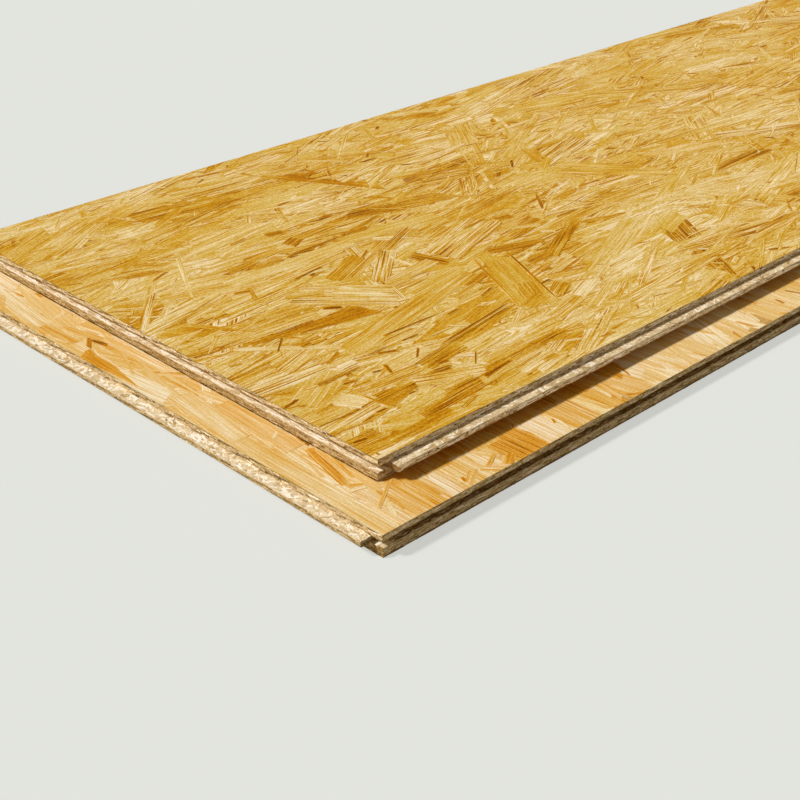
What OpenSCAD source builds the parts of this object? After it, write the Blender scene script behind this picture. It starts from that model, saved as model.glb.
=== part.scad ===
// Stack of two floor panels of oriented strand board, with tongue and groove on all four edges.
// The upper panel lies a little set back on the lower one. Both are the same panel, and the
// lower one is turned half way round, so that its tongues point where the upper one has grooves.
// All sizes are in millimetres. +X runs along the panels, +Y across them and +Z is up.
// The origin is on the floor, under the middle of the outline of the stack.

/* [Panel] */
// Laying length of one panel, from shoulder to shoulder
panel_length = 2500; // [600:1:5000]
// Laying width of one panel, from shoulder to shoulder
panel_width = 675; // [300:1:1250]
// Thickness of one panel
panel_thickness = 22; // [20:0.5:30]

/* [Tongue] */
// How far a tongue stands out from its shoulder
tongue_length = 12; // [8:0.1:16]
// Thickness of a tongue where it leaves its shoulder
tongue_root = 6.2; // [5:0.1:7]
// Height of the middle of a tongue above the underside of its panel
tongue_middle = 12.4; // [10:0.1:13]
// How much thinner a tongue is at its tip than at its root
tongue_taper = 0.4; // [0:0.1:1.2]
// Bevel on both edges of the tip of a tongue
tip_bevel = 0.8; // [0.2:0.1:1.5]
// How far the shoulder below a tongue stands back from the one above it
lower_shoulder_relief = 0.6; // [0:0.1:1.5]

/* [Groove] */
// Free height left above and below a tongue in its groove
groove_clearance = 0.25; // [0.1:0.05:0.6]
// Free depth left between the tip of a tongue and the bottom of its groove
groove_end_room = 1; // [0.3:0.1:2]
// Bevel on both edges of the mouth of a groove
mouth_bevel = 0.5; // [0.1:0.1:1]

/* [Stack] */
// How far the upper panel is shifted along the length of the lower one
shift_along = 52; // [20:1:150]
// How far the upper panel is shifted across the width of the lower one
shift_across = 60; // [20:1:150]

/* [Hidden] */

upper_panel_colour = "#D6AE5E";
lower_panel_colour = "#E3C283";

// How far each cutting section runs past the material that it takes away
overrun = 5;

tongue_tip = tongue_root - tongue_taper;
groove_depth = tongue_length + groove_end_room;

// Edges by the angle that they face, with the distance of the shoulder from the panel's middle
// and the run of the edge
run_of_long_edge = panel_length + 2 * (tongue_length + overrun);
run_of_short_edge = panel_width + 2 * (tongue_length + overrun);
tongue_edges = [[0, panel_length / 2, run_of_short_edge], [270, panel_width / 2, run_of_long_edge]];
groove_edges = [[180, panel_length / 2, run_of_short_edge], [90, panel_width / 2, run_of_long_edge]];

// Outline of the stack, measured from the lower panel's shoulders at its lowest x and y
outline_low = [min(-tongue_length, shift_along), min(0, shift_across - tongue_length)];
outline_high = [panel_length + max(0, shift_along + tongue_length),
                panel_width + max(tongue_length, shift_across)];
lower_middle = ([panel_length, panel_width] - outline_low - outline_high) / 2;
upper_middle = lower_middle + [shift_along, shift_across];

// Carries a section along one edge of a panel. In the section x points out of the panel,
// measured from the shoulder, and y points up from the underside.
module along_edge(edge)
    rotate([0, 0, edge[0]])
        translate([edge[1], 0, 0])
            rotate([90, 0, 0])
                linear_extrude(height = edge[2], center = true)
                    children();

// The waste above a tongue, from the shoulder out past the tip
module waste_above_tongue()
    polygon([
        [0, panel_thickness + overrun],
        [0, tongue_middle + tongue_root / 2],
        [tongue_length - tip_bevel, tongue_middle + tongue_tip / 2],
        [tongue_length, tongue_middle + tongue_tip / 2 - tip_bevel],
        [tongue_length + overrun, tongue_middle + tongue_tip / 2 - tip_bevel],
        [tongue_length + overrun, panel_thickness + overrun]
    ]);

// The waste below a tongue, which reaches in behind the upper shoulder
module waste_below_tongue()
    polygon([
        [-lower_shoulder_relief, -overrun],
        [-lower_shoulder_relief, tongue_middle - tongue_root / 2],
        [0, tongue_middle - tongue_root / 2],
        [tongue_length - tip_bevel, tongue_middle - tongue_tip / 2],
        [tongue_length, tongue_middle - tongue_tip / 2 + tip_bevel],
        [tongue_length + overrun, tongue_middle - tongue_tip / 2 + tip_bevel],
        [tongue_length + overrun, -overrun]
    ]);

// The slot of a groove: the section of a tongue with its clearances, and a bevelled mouth
module groove_slot() {
    mouth = tongue_root / 2 + groove_clearance;
    bottom = tongue_tip / 2 + groove_clearance;
    translate([0, tongue_middle])
        polygon([
            [overrun, -mouth - mouth_bevel],
            [0, -mouth - mouth_bevel],
            [-mouth_bevel, -mouth],
            [-groove_depth, -bottom],
            [-groove_depth, bottom],
            [-mouth_bevel, mouth],
            [0, mouth + mouth_bevel],
            [overrun, mouth + mouth_bevel]
        ]);
}

// The blank that a panel is milled from, with stock for its two tongues
module panel_blank()
    translate([-panel_length / 2, -panel_width / 2 - tongue_length, 0])
        cube([panel_length + tongue_length, panel_width + tongue_length, panel_thickness]);

// One panel with its middle over the origin: tongues face +X and -Y, grooves face -X and +Y.
// A groove runs out through the end of the tongue on the next edge, as the cutter leaves it.
module osb_panel()
    difference() {
        panel_blank();
        for (edge = tongue_edges) {
            along_edge(edge) waste_above_tongue();
            along_edge(edge) waste_below_tongue();
        }
        for (edge = groove_edges)
            along_edge(edge) groove_slot();
    }

module lower_panel()
    color(lower_panel_colour)
        translate(lower_middle)
            rotate([0, 0, 180])
                osb_panel();

module upper_panel()
    color(upper_panel_colour)
        translate([upper_middle.x, upper_middle.y, panel_thickness])
            osb_panel();

lower_panel();
upper_panel();
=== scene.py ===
# %% [markdown]
# Two floor panels of oriented strand board lie on each other, the upper one set back a little.
# Such a board is pressed from thousands of flat pine strands, so the solids give the exact panels
# with their tongues and grooves, and this lesson lays the strands on their faces.
# Everything is worked out in metres in the frame of the solids, so nothing has to be fitted later.

# %% The frame
import math

import bpy
import numpy as np
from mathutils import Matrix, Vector


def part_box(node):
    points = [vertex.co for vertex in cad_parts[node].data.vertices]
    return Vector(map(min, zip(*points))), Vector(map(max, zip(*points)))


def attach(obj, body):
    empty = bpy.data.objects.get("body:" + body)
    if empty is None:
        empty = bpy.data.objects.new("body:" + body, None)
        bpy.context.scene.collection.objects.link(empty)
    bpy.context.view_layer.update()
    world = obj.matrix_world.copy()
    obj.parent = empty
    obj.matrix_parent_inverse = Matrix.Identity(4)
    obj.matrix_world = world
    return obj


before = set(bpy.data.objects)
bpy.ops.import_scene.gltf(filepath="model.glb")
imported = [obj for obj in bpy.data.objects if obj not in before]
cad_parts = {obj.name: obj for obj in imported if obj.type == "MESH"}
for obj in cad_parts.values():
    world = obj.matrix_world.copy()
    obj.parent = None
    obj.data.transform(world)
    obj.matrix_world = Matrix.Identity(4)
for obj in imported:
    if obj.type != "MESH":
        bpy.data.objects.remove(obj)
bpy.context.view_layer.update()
MM = 0.001

# %% [markdown]
# A panel's laying face ends at its shoulders, and a tongue reaches past them on two edges. Strands
# lie on that face, and cut strands show on the milled edges, so each face is written down as a
# small frame: an origin, a direction along it, one across it, the one that points out of it, and
# its size. The box of a solid includes the tongues, so they are taken off to get the shoulders.

# %% Panels and their top faces
TONGUE = 12 * MM
UP = np.array([0.0, 0.0, 1.0])


def face(origin, along, across, size):
    """A flat rectangle: its points are origin + a * along + b * across, up to size = (a, b)."""
    along, across = (np.array(v, float) / np.linalg.norm(v) for v in (along, across))
    return {"origin": np.array(origin, float), "along": along, "across": across,
            "out": np.cross(along, across), "size": np.array(size, float)}


def panel(node, turn):
    """A panel's middle on its underside, its laying size and thickness, its low corner and its top
    face. As milled, its tongues are at +X and -Y and its grooves at -X and +Y, and turn is -1 where
    it lies turned half way round."""
    low, high = (np.array(corner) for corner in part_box(node))
    reach = turn * np.array([TONGUE, -TONGUE])
    low[:2], high[:2] = low[:2] - np.minimum(reach, 0), high[:2] - np.maximum(reach, 0)
    size = high - low
    middle = np.array([*(low + high)[:2] / 2, low[2]])
    top = face((*low[:2], high[2]), (1, 0, 0), (0, 1, 0), size[:2])
    print(node, "laying size", np.round(size / MM, 1), "mm, near corner", np.round(low / MM, 1))
    return {"middle": middle, "size": size, "turn": turn, "low": low, "top": top}


UPPER = panel("upper_panel", 1)
LOWER = panel("lower_panel", -1)

# %% [markdown]
# The camera looks down on the nearest corner of the stack. A picture's edges and corners fix where
# it stood: its place is given from the lower panel's near corner, on the floor, and its turn by a
# heading and a pitch. No shift is needed, because the middle of the picture is the lens's own axis.

# %% Camera
CAMERA_FROM_CORNER = np.array([-643, -679, 665]) * MM
CAMERA_HEADING = 45.7
CAMERA_PITCH = 29.04
LENS = 63.76
SENSOR_WIDTH = 36

lens = bpy.data.cameras.new("camera")
lens.lens = LENS
lens.sensor_width = SENSOR_WIDTH
camera = bpy.data.objects.new("camera", lens)
camera.location = Vector(LOWER["low"] + CAMERA_FROM_CORNER)
camera.rotation_euler = (math.radians(90 - CAMERA_PITCH), 0, math.radians(CAMERA_HEADING - 90))
bpy.context.scene.collection.objects.link(camera)
bpy.context.scene.camera = camera
print("camera at", tuple(round(x, 3) for x in camera.location))

# %% [markdown]
# Shader nodes are easier to read when one short function adds a node, sets it and links it.
# Colours are written the way painters and web pages do, as sRGB hex values, and one function turns
# them into the linear light that a shader works with.

# %% Helpers for materials


def linear(colour):
    """sRGB hex to linear RGB: each channel c becomes c / 12.92 or ((c + 0.055) / 1.055) ** 2.4."""
    c = np.array([int(colour[i:i + 2], 16) for i in (1, 3, 5)]) / 255
    return np.where(c <= 0.04045, c / 12.92, ((c + 0.055) / 1.055) ** 2.4)


def add(tree, kind, links=None, **settings):
    """Adds a node, sets its properties, and links or sets its inputs, by their name or number."""
    made = tree.nodes.new(kind)
    for name, value in settings.items():
        setattr(made, name, value)
    for socket, value in (links or {}).items():
        if isinstance(value, bpy.types.NodeSocket):
            tree.links.new(value, made.inputs[socket])
        else:
            made.inputs[socket].default_value = value
    return made


def rgba(colour):
    """A hex colour as the four numbers that a colour socket takes."""
    return (*linear(colour), 1)


# The colour sockets of a Mix node share their names with others, so they go by number
MIX_A, MIX_B, MIX_OUT = 6, 7, 2
print("honey in linear light:", np.round(linear("#D6AE5E"), 3))

# %% [markdown]
# The studio has one broad light at the left and a weak one low at the right, behind the camera.
# Area lamps would do, but sun lamps with a wide angle give soft edges to the shadows and the same
# light all over the panels. With the surround, the strengths add up to one on the top faces, so a
# colour renders about as it is written.

# %% Lamps
SUNS = {"key_light": ((-0.9, 0.58, 1.0), 8, 0.79), "fill_light": ((0.2, -1.0, 0.05), 20, 0.006)}

for name, (to_light, spread, level) in SUNS.items():
    to_light = Vector(to_light).normalized()
    sun = bpy.data.lights.new(name, "SUN")
    sun.energy = level * math.pi / to_light.z
    sun.angle = math.radians(spread)
    lamp = bpy.data.objects.new(name, sun)
    lamp.rotation_euler = to_light.to_track_quat("Z", "Y").to_euler()
    bpy.context.scene.collection.objects.link(lamp)
    print(f"{name}: {sun.energy:.2f} W/m2, {level} of the light on a level face")

# %% [markdown]
# An even, slightly warm surround fills the shadows, and the pale floor throws light on the upright
# edges. For the camera alone the floor also glows, which keeps its shadow light, as on a photo
# table lit from below. The backdrop has the floor's colour for the camera too, so that low views
# show no dark horizon. More lamps could do this, but they would also change the light on the wood.

# %% Surround and floor
SURROUND = 0.2
FLOOR_SIZE = 60
FLOOR_GLOW = 0.7
PALE_GREY = "#E3E5E0"
PAPER_GREY = "#E2E4DF"
WARM_WHITE = "#FFF2DE"


def seen(tree):
    """1 for rays from the camera, also by way of a mirror or glass, and 0 for rays that carry light."""
    path = add(tree, "ShaderNodeLightPath").outputs
    mirrored = add(tree, "ShaderNodeMath", {0: path["Is Camera Ray"], 1: path["Is Glossy Ray"]},
                   operation="ADD").outputs[0]
    return add(tree, "ShaderNodeMath", {0: mirrored, 1: path["Is Transmission Ray"]},
               operation="ADD", use_clamp=True).outputs[0]


world = bpy.data.worlds.new("surround")
bpy.context.scene.world = world
world.use_nodes = True
tree = world.node_tree
even = tree.nodes["Background"]
even.inputs["Color"].default_value = rgba(WARM_WHITE)
even.inputs["Strength"].default_value = SURROUND
backdrop = add(tree, "ShaderNodeBackground", {"Color": rgba(PALE_GREY), "Strength": 1.0})
around = add(tree, "ShaderNodeMixShader", {0: seen(tree), 1: even.outputs[0], 2: backdrop.outputs[0]})
tree.links.new(around.outputs[0], tree.nodes["World Output"].inputs["Surface"])
bpy.context.scene.view_settings.view_transform = "Standard"

paper = bpy.data.materials.new("matt_studio_paper")
paper.use_nodes = True
tree = paper.node_tree
matt = tree.nodes["Principled BSDF"]
matt.inputs["Base Color"].default_value = rgba(PAPER_GREY)
matt.inputs["Roughness"].default_value = 0.9
matt.inputs["Specular IOR Level"].default_value = 0.1
glow = add(tree, "ShaderNodeEmission", {"Color": rgba(PALE_GREY), "Strength": 1.0})
share = add(tree, "ShaderNodeMath", {0: seen(tree), 1: FLOOR_GLOW}, operation="MULTIPLY").outputs[0]
lit_floor = add(tree, "ShaderNodeMixShader", {0: share, 1: matt.outputs[0], 2: glow.outputs[0]})
tree.links.new(lit_floor.outputs[0], tree.nodes["Material Output"].inputs["Surface"])

floor_mesh = bpy.data.meshes.new("floor")
corners = np.array([[-1, -1, 0], [1, -1, 0], [1, 1, 0], [-1, 1, 0]]) * FLOOR_SIZE / 2
floor_mesh.from_pydata(corners.tolist(), [], [(0, 1, 2, 3)])
floor_mesh.materials.append(paper)
floor = bpy.data.objects.new("floor", floor_mesh)
bpy.context.scene.collection.objects.link(floor)
print("surround", SURROUND, "and a floor of", FLOOR_SIZE, "m")

# %% [markdown]
# A strand is a shaving of pine, cut along the grain, glued and pressed flat under heat. Its early
# wood is pale, and its late wood is a set of darker lines that run along it, 2 to 4 mm apart.
# All its colours lie on one line, from dark resin over amber and honey to cream, so a strand needs
# just one number for its tone. Lines, fibres and stains add to that number, and one ramp turns
# the sum into colour. Heat and glue blend the torn ends of a strand with the mat around them, so
# the tone changes there to that of the place where it lies. Tone, figure, core, rim and a faint
# tint are attributes of the mesh, so one material serves thousands of strands. The lines follow
# the UV map named grain, which is measured in metres along and across each strand.

# %% Pine strands, pressed and milled
LATE_WOOD_SPACING = 2.6 * MM
LATE_WOOD_RUN = 130 * MM
# Real fibres are some 0.04 mm thick, too fine to be seen here, so they are drawn in bundles
FIBRE_SPACING = 1.0 * MM
FIBRE_RUN = 60 * MM
STREAK_WIDTH = 8 * MM
STREAK_RUN = 90 * MM
MAT_PATCH = 70 * MM
STAIN = np.array([190, 70, 70]) * MM
SPECKLE = np.array([2.4, 2.4, 2.4]) * MM
FLECK = np.array([3.0, 1.6, 1.6]) * MM
MAT_TONES = (0.56, 0.8)
# The rim of a strand is darker by up to RIM_SHADE: partly an outline of its own, partly painted shade of the
# small step at its edge.
RIM_SHADE = 0.3
GRAIN_RELIEF = 0.15 * MM
HONEY_TONES = [(0.0, "#743E02"), (0.14, "#A05C02"), (0.28, "#BC7602"), (0.4, "#CA900C"), (0.5, "#D09F24"),
               (0.62, "#D5AD46"), (0.74, "#DDBD6E"), (0.86, "#E8CE94"), (1.0, "#F3DEB4")]
STRAW_TONES = [(0.0, "#7A4A0C"), (0.14, "#A86810"), (0.28, "#CA8218"), (0.4, "#D89626"), (0.5, "#DDA846"),
               (0.62, "#E0B464"), (0.74, "#E4C07E"), (0.86, "#EBCF9A"), (1.0, "#F6E5C4")]
# The stop at 0.9 is warmer than its neighbours: painted warm light, thrown back by the wood, on the upper
# tongue's faces in shade, whose tones lie near it.
CUT_TONES = [(0.0, "#2A1804"), (0.2, "#6A4812"), (0.4, "#9A7840"), (0.55, "#B89A68"), (0.75, "#DAC298"),
             (0.9, "#EFDAB2"), (1.0, "#FBF2E0")]


def pine(name, tones, stain_size, roughness, **depth):
    """The strand's tone, blended with the mat's where core is low, plus late wood lines, fibres,
    streaks, stains and flecks, minus the shade of the rim, through a ramp of pine tones. depth says
    for each pattern by how much it moves the tone."""
    made = bpy.data.materials.new(name)
    made.use_nodes = True
    tree = made.node_tree
    grain = add(tree, "ShaderNodeUVMap", uv_map="grain").outputs["UV"]
    place = add(tree, "ShaderNodeTexCoord").outputs["Object"]
    tone, figure, core, rim = (
        add(tree, "ShaderNodeAttribute", attribute_name=key).outputs["Fac"]
        for key in ("tone", "figure", "core", "rim"))
    tint = add(tree, "ShaderNodeAttribute", attribute_name="tint").outputs["Color"]

    patterns = {}
    for key, run, width, detail in (
            ("lines", LATE_WOOD_RUN, LATE_WOOD_SPACING, 2.0), ("fibres", FIBRE_RUN, FIBRE_SPACING, 3.0),
            ("streaks", STREAK_RUN, STREAK_WIDTH, 3.0)):
        scaled = add(tree, "ShaderNodeMapping", {"Vector": grain, "Scale": (1 / run, 1 / width, 1)})
        patterns[key] = add(tree, "ShaderNodeTexNoise", {
            "Vector": scaled.outputs[0], "Scale": 1.0, "Detail": detail, "Roughness": 0.6,
            "Distortion": 0.5}).outputs["Fac"]
    for key, size, detail in (
            ("stains", stain_size, 2.0), ("flecks", FLECK, 1.0), ("mat", np.full(3, MAT_PATCH), 5.0)):
        scaled = add(tree, "ShaderNodeMapping", {"Vector": place, "Scale": 1 / size})
        patterns[key] = add(tree, "ShaderNodeTexNoise", {
            "Vector": scaled.outputs[0], "Scale": 1.0, "Detail": detail, "Roughness": 0.6}).outputs["Fac"]

    mat_tone = add(tree, "ShaderNodeMapRange", {
        "Value": patterns["mat"], "From Min": 0.35, "From Max": 0.65,
        "To Min": MAT_TONES[0], "To Max": MAT_TONES[1]}).outputs[0]
    own_share = add(tree, "ShaderNodeMath", {0: tone, 1: mat_tone}, operation="SUBTRACT").outputs[0]
    total = add(tree, "ShaderNodeMath", {0: own_share, 1: core, 2: mat_tone},
                operation="MULTIPLY_ADD").outputs[0]
    late_wood = add(tree, "ShaderNodeMapRange", {
        "Value": patterns["lines"], "From Min": 0.46, "From Max": 0.6, "To Min": 0.35, "To Max": -0.65},
        interpolation_type="SMOOTHSTEP").outputs[0]
    # On a strand that is dark all over, the lines stand out less
    shown = add(tree, "ShaderNodeMath", {0: figure, 1: tone}, operation="MULTIPLY").outputs[0]
    drawn = add(tree, "ShaderNodeMath", {0: late_wood, 1: shown}, operation="MULTIPLY").outputs[0]
    total = add(tree, "ShaderNodeMath", {0: drawn, 1: depth["lines"], 2: total},
                operation="MULTIPLY_ADD").outputs[0]
    # A strand cut flat between two lines is smooth, and one cut across them is fibrous
    coarse = add(tree, "ShaderNodeMapRange", {"Value": figure, "To Min": 0.45, "To Max": 1.0}).outputs[0]
    for key, lift, strength in (
            ("fibres", 1, coarse), ("streaks", 1, 1.0), ("stains", 0.25, 1.0), ("flecks", 1, 1.0)):
        swing = add(tree, "ShaderNodeMapRange", {
            "Value": patterns[key], "From Min": 0.3, "From Max": 0.7, "To Min": lift * depth[key],
            "To Max": -depth[key]}).outputs[0]
        total = add(tree, "ShaderNodeMath", {0: swing, 1: strength, 2: total},
                    operation="MULTIPLY_ADD").outputs[0]
    total = add(tree, "ShaderNodeMath", {0: rim, 1: -RIM_SHADE, 2: total},
                operation="MULTIPLY_ADD").outputs[0]

    ramp = add(tree, "ShaderNodeValToRGB", {0: total})
    stops = ramp.color_ramp.elements
    for position, colour in tones[1:-1]:
        stops.new(position).color = rgba(colour)
    stops[0].color, stops[-1].color = rgba(tones[0][1]), rgba(tones[-1][1])
    tinted = add(tree, "ShaderNodeVectorMath", {0: ramp.outputs["Color"], 1: tint}, operation="MULTIPLY")

    relief = add(tree, "ShaderNodeMath", {0: patterns["lines"], 1: patterns["fibres"]}, operation="ADD")
    bump = add(tree, "ShaderNodeBump", {
        "Height": relief.outputs[0], "Strength": 0.5, "Distance": GRAIN_RELIEF})
    shader = tree.nodes["Principled BSDF"]
    tree.links.new(tinted.outputs[0], shader.inputs["Base Color"])
    tree.links.new(bump.outputs["Normal"], shader.inputs["Normal"])
    shader.inputs["Roughness"].default_value = roughness
    shader.inputs["Specular IOR Level"].default_value = 0.04
    return made


HONEY_PINE = pine("pressed_pine_honey", HONEY_TONES, STAIN, 0.62,
                  lines=0.68, fibres=0.48, streaks=0.1, stains=0.2, flecks=0.13)
STRAW_PINE = pine("pressed_pine_straw", STRAW_TONES, STAIN[[1, 0, 2]], 0.62,
                  lines=0.44, fibres=0.34, streaks=0.08, stains=0.16, flecks=0.08)
CUT_DEPTHS = {"lines": 0.2, "fibres": 0.12, "streaks": 0.07, "stains": 0.2, "flecks": 0.05}
CUT_HONEY = pine("milled_pine_honey", CUT_TONES, SPECKLE, 0.85, **CUT_DEPTHS)
CUT_STRAW = pine("milled_pine_straw", CUT_TONES, SPECKLE, 0.85, **CUT_DEPTHS)
print("strand materials:", *(m.name for m in (HONEY_PINE, STRAW_PINE, CUT_HONEY, CUT_STRAW)))

# %% [markdown]
# The board below the strands is the same wood, seen in the gaps between them. Its edges are cut
# through the mat, so they show thin layers with dark pores. Its underside is a mat of strands like
# its top, but it is never seen close, so there a pattern of long cells stands for the strands. One
# material tells the places apart by the height in the panel, since both panels are equally thick.

# %% The board below the strands
LAYER_HEIGHT = 1.0 * MM
LAYER_RUN = 9 * MM
PORE_SIZE = 2.2 * MM
CELL_RUN = 110 * MM
CELL_WIDTH = 26 * MM
PANEL_THICKNESS = UPPER["size"][2]
FACE_SKIN = 0.3 * MM
PORE_DEPTH = 0.3 * MM


def board(name, outer, cut_wood, fresh):
    """Long cells with grain lines on the outer faces, layers and pores inside. Each place has a pale and
    a dark colour. Inside, a face that lies flat is cut along the strands, which makes it paler."""
    made = bpy.data.materials.new(name)
    made.use_nodes = True
    tree = made.node_tree
    place = add(tree, "ShaderNodeTexCoord").outputs["Object"]
    height = add(tree, "ShaderNodeSeparateXYZ", {0: place}).outputs["Z"]
    from_face = add(tree, "ShaderNodeMath", {0: height, 1: PANEL_THICKNESS / 2},
                    operation="PINGPONG").outputs[0]
    is_inside = add(tree, "ShaderNodeMath", {0: from_face, 1: FACE_SKIN}, operation="GREATER_THAN").outputs[0]

    noises = {}
    for key, scale, detail in (
            ("layers", (LAYER_RUN, LAYER_RUN, LAYER_HEIGHT), 3.0), ("pores", (PORE_SIZE,) * 3, 2.0),
            ("lines", (LATE_WOOD_RUN, LATE_WOOD_SPACING, 1.0), 3.0),
            ("fibres", (FIBRE_RUN, FIBRE_SPACING, 1.0), 3.0)):
        scaled = add(tree, "ShaderNodeMapping", {"Vector": place, "Scale": tuple(1 / s for s in scale)})
        noises[key] = add(tree, "ShaderNodeTexNoise", {
            "Vector": scaled.outputs[0], "Scale": 1.0, "Detail": detail, "Roughness": 0.6}).outputs["Fac"]
    cell_place = add(tree, "ShaderNodeMapping", {
        "Vector": place, "Scale": (1 / CELL_RUN, 1 / CELL_WIDTH, 1.0)})
    cells = add(tree, "ShaderNodeTexVoronoi", {"Vector": cell_place.outputs[0], "Scale": 1.0})
    cell = add(tree, "ShaderNodeSeparateColor", {0: cells.outputs["Color"]}).outputs[0]

    cut = add(tree, "ShaderNodeMath", {0: noises["layers"], 1: noises["pores"]}, operation="ADD").outputs[0]
    cut_share = add(tree, "ShaderNodeMapRange", {"Value": cut, "From Min": 0.8, "From Max": 1.2}).outputs[0]
    drawn = add(tree, "ShaderNodeMath", {0: noises["lines"], 1: noises["fibres"]}, operation="ADD").outputs[0]
    mat = add(tree, "ShaderNodeMath", {0: cell, 1: 0.5, 2: drawn}, operation="MULTIPLY_ADD").outputs[0]
    mat_share = add(tree, "ShaderNodeMapRange", {"Value": mat, "From Min": 0.9, "From Max": 1.6}).outputs[0]
    share = add(tree, "ShaderNodeMix", {0: is_inside, 2: mat_share, 3: cut_share})
    normal = add(tree, "ShaderNodeNewGeometry").outputs["True Normal"]
    facing = add(tree, "ShaderNodeSeparateXYZ", {0: normal})
    lies_flat = add(tree, "ShaderNodeMath", {0: facing.outputs["Z"]}, operation="ABSOLUTE").outputs[0]
    opened = add(tree, "ShaderNodeMath", {0: lies_flat, 1: is_inside}, operation="MULTIPLY").outputs[0]
    ends = []
    for on_face, on_cut, on_flat in zip(outer, cut_wood, fresh):
        inner = add(tree, "ShaderNodeMix", {0: opened, MIX_A: rgba(on_cut), MIX_B: rgba(on_flat)},
                    data_type="RGBA").outputs[MIX_OUT]
        ends.append(add(tree, "ShaderNodeMix", {0: is_inside, MIX_A: rgba(on_face), MIX_B: inner},
                        data_type="RGBA").outputs[MIX_OUT])
    colour = add(tree, "ShaderNodeMix", {0: share.outputs[0], MIX_A: ends[0], MIX_B: ends[1]},
                 data_type="RGBA")

    bump = add(tree, "ShaderNodeBump", {
        "Height": share.outputs[0], "Strength": 0.5, "Distance": PORE_DEPTH}, invert=True)
    shader = tree.nodes["Principled BSDF"]
    tree.links.new(colour.outputs[MIX_OUT], shader.inputs["Base Color"])
    tree.links.new(bump.outputs["Normal"], shader.inputs["Normal"])
    shader.inputs["Roughness"].default_value = 0.85
    shader.inputs["Specular IOR Level"].default_value = 0.15
    return made


BOARDS = {
    "upper_panel": board("glued_strand_board_honey", ("#D8AC52", "#B98428"), ("#B08C58", "#5E4018"),
                         ("#E6D3AE", "#C09A5E")),
    "lower_panel": board("glued_strand_board_straw", ("#E0BC78", "#BC8C40"), ("#A08658", "#523C16"),
                         ("#EAD9B8", "#C4A066")),
}
for node, material in BOARDS.items():
    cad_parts[node].data.materials.clear()
    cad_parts[node].data.materials.append(material)
print("board materials on", sorted(BOARDS))

# %% [markdown]
# A strand is nearly flat, but no two have the same outline: the long edges waver along the grain,
# and the ends are torn at a slant. Modelling them one by one would take thousands of small meshes.
# Here all strands are computed together, as arrays with an axis for the strands and two axes for
# a grid along and across each of them.

# %% Strands as grids
BROAD_ROWS = np.array([0, 0.03, 0.12, 0.35, 0.65, 0.88, 0.97, 1])
BROAD_COLUMNS = np.array([-1, -0.85, 0.85, 1])
NARROW_ROWS = np.array([0, 0.12, 0.5, 0.88, 1])
NARROW_COLUMNS = np.array([-1, 1])
MARK_COLUMNS = np.array([-1, -0.3, 0.3, 1])
RANDOM_SHAPE = np.array([0.3, 1.3, 1.3])
FLARE = 0.05


def strand_grids(place, angle, length, width, level, rng, rows=BROAD_ROWS, columns=BROAD_COLUMNS,
                 shape=None, waver=0.08, torn=3 * MM, pinched=0.3, tilt=0.05 * MM):
    """Points of each strand on its face. With s from 0 to 1 along it and t from -1 to 1 across it:
    along  = (s - 1/2) length + slant and tearing of each end, which fade with the sixth power
    across = width / 2 * t, growing by the taper along s, wavering, and drawn in or flared at the ends
    height = level + a small tilt both ways.
    shape has the taper and the slant of both ends, and is random where none is given. The strand
    is then turned by its angle and moved to its place. Axes: strand, row, column."""
    n, m = len(length), len(columns)
    s = rows[None, :, None]
    t = columns[None, None, :]
    half = (width / 2)[:, None, None]
    if shape is None:
        shape = rng.uniform(-1, 1, (n, 3)) * RANDOM_SHAPE
    taper = shape[:, 0, None, None]
    wave = rng.normal(0, waver, (n, len(rows), 2))
    pinch = rng.uniform(-FLARE, pinched, (n, 1, 1))
    ends = shape[:, 1:, None] * half * t + rng.normal(0, torn, (n, 2, m))
    side = t + wave[..., :1] * (1 - t) / 2 + wave[..., 1:] * (1 + t) / 2
    across = half * side * (1 + taper * (2 * s - 1)) * (1 - pinch * (2 * s - 1) ** 4)
    along = (s - 0.5) * length[:, None, None] + (1 - s) ** 6 * ends[:, :1] + s ** 6 * ends[:, 1:]
    lift = rng.normal(0, tilt, (n, 2, 1, 1))
    height = level[:, None, None] + lift[:, 0] * (2 * s - 1) + lift[:, 1] * t
    turn, swing = np.cos(angle)[:, None, None], np.sin(angle)[:, None, None]
    x = place[:, 0, None, None] + along * turn - across * swing
    y = place[:, 1, None, None] + along * swing + across * turn
    return x, y, height


print("rows and columns:", BROAD_ROWS.size, "x", BROAD_COLUMNS.size, "or", NARROW_ROWS.size, "x",
      NARROW_COLUMNS.size)

# %% [markdown]
# Each strand needs two texture maps. The one named grain is in metres along and across the strand,
# moved by a random amount so that no two strands show the same lines. The one named OFBake gives
# each strand its own place on a square, for baking its colours. Unwrapping could lay it out too,
# but the points of the strands are known, so both maps are worked out from where they really are.

# %% Texture maps of the strands
GRAIN_SHIFT = 50
BAKE_MARGIN = 0.6 * MM
BAKE_ROOM = 1.1
BAKE_GROWTH = 1.02


def bake_places(size):
    """Low corners and scale that lay rectangles of the given size in rows on a unit square: sorted
    by width, they follow each other along a line, which is cut into rows of equal run. The run
    grows until the rows are no deeper in all than they are long."""
    order = np.argsort(size[:, 1])
    longest = size[:, 0].max()
    run = math.sqrt(size.prod(axis=1).sum() * BAKE_ROOM) + longest
    ends = np.cumsum(size[order, 0])
    depth = [run + 1]
    while sum(depth) > run:
        run *= BAKE_GROWTH
        row = ((ends - size[order, 0]) // (run - longest)).astype(int)
        depth = np.maximum.reduceat(size[order, 1], np.unique(row, return_index=True)[1])
    low = np.empty_like(size)
    low[order, 0] = ends - size[order, 0] - row * (run - longest)
    low[order, 1] = (np.cumsum(depth) - depth)[np.unique(row, return_inverse=True)[1]]
    return low, 1 / run


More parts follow.
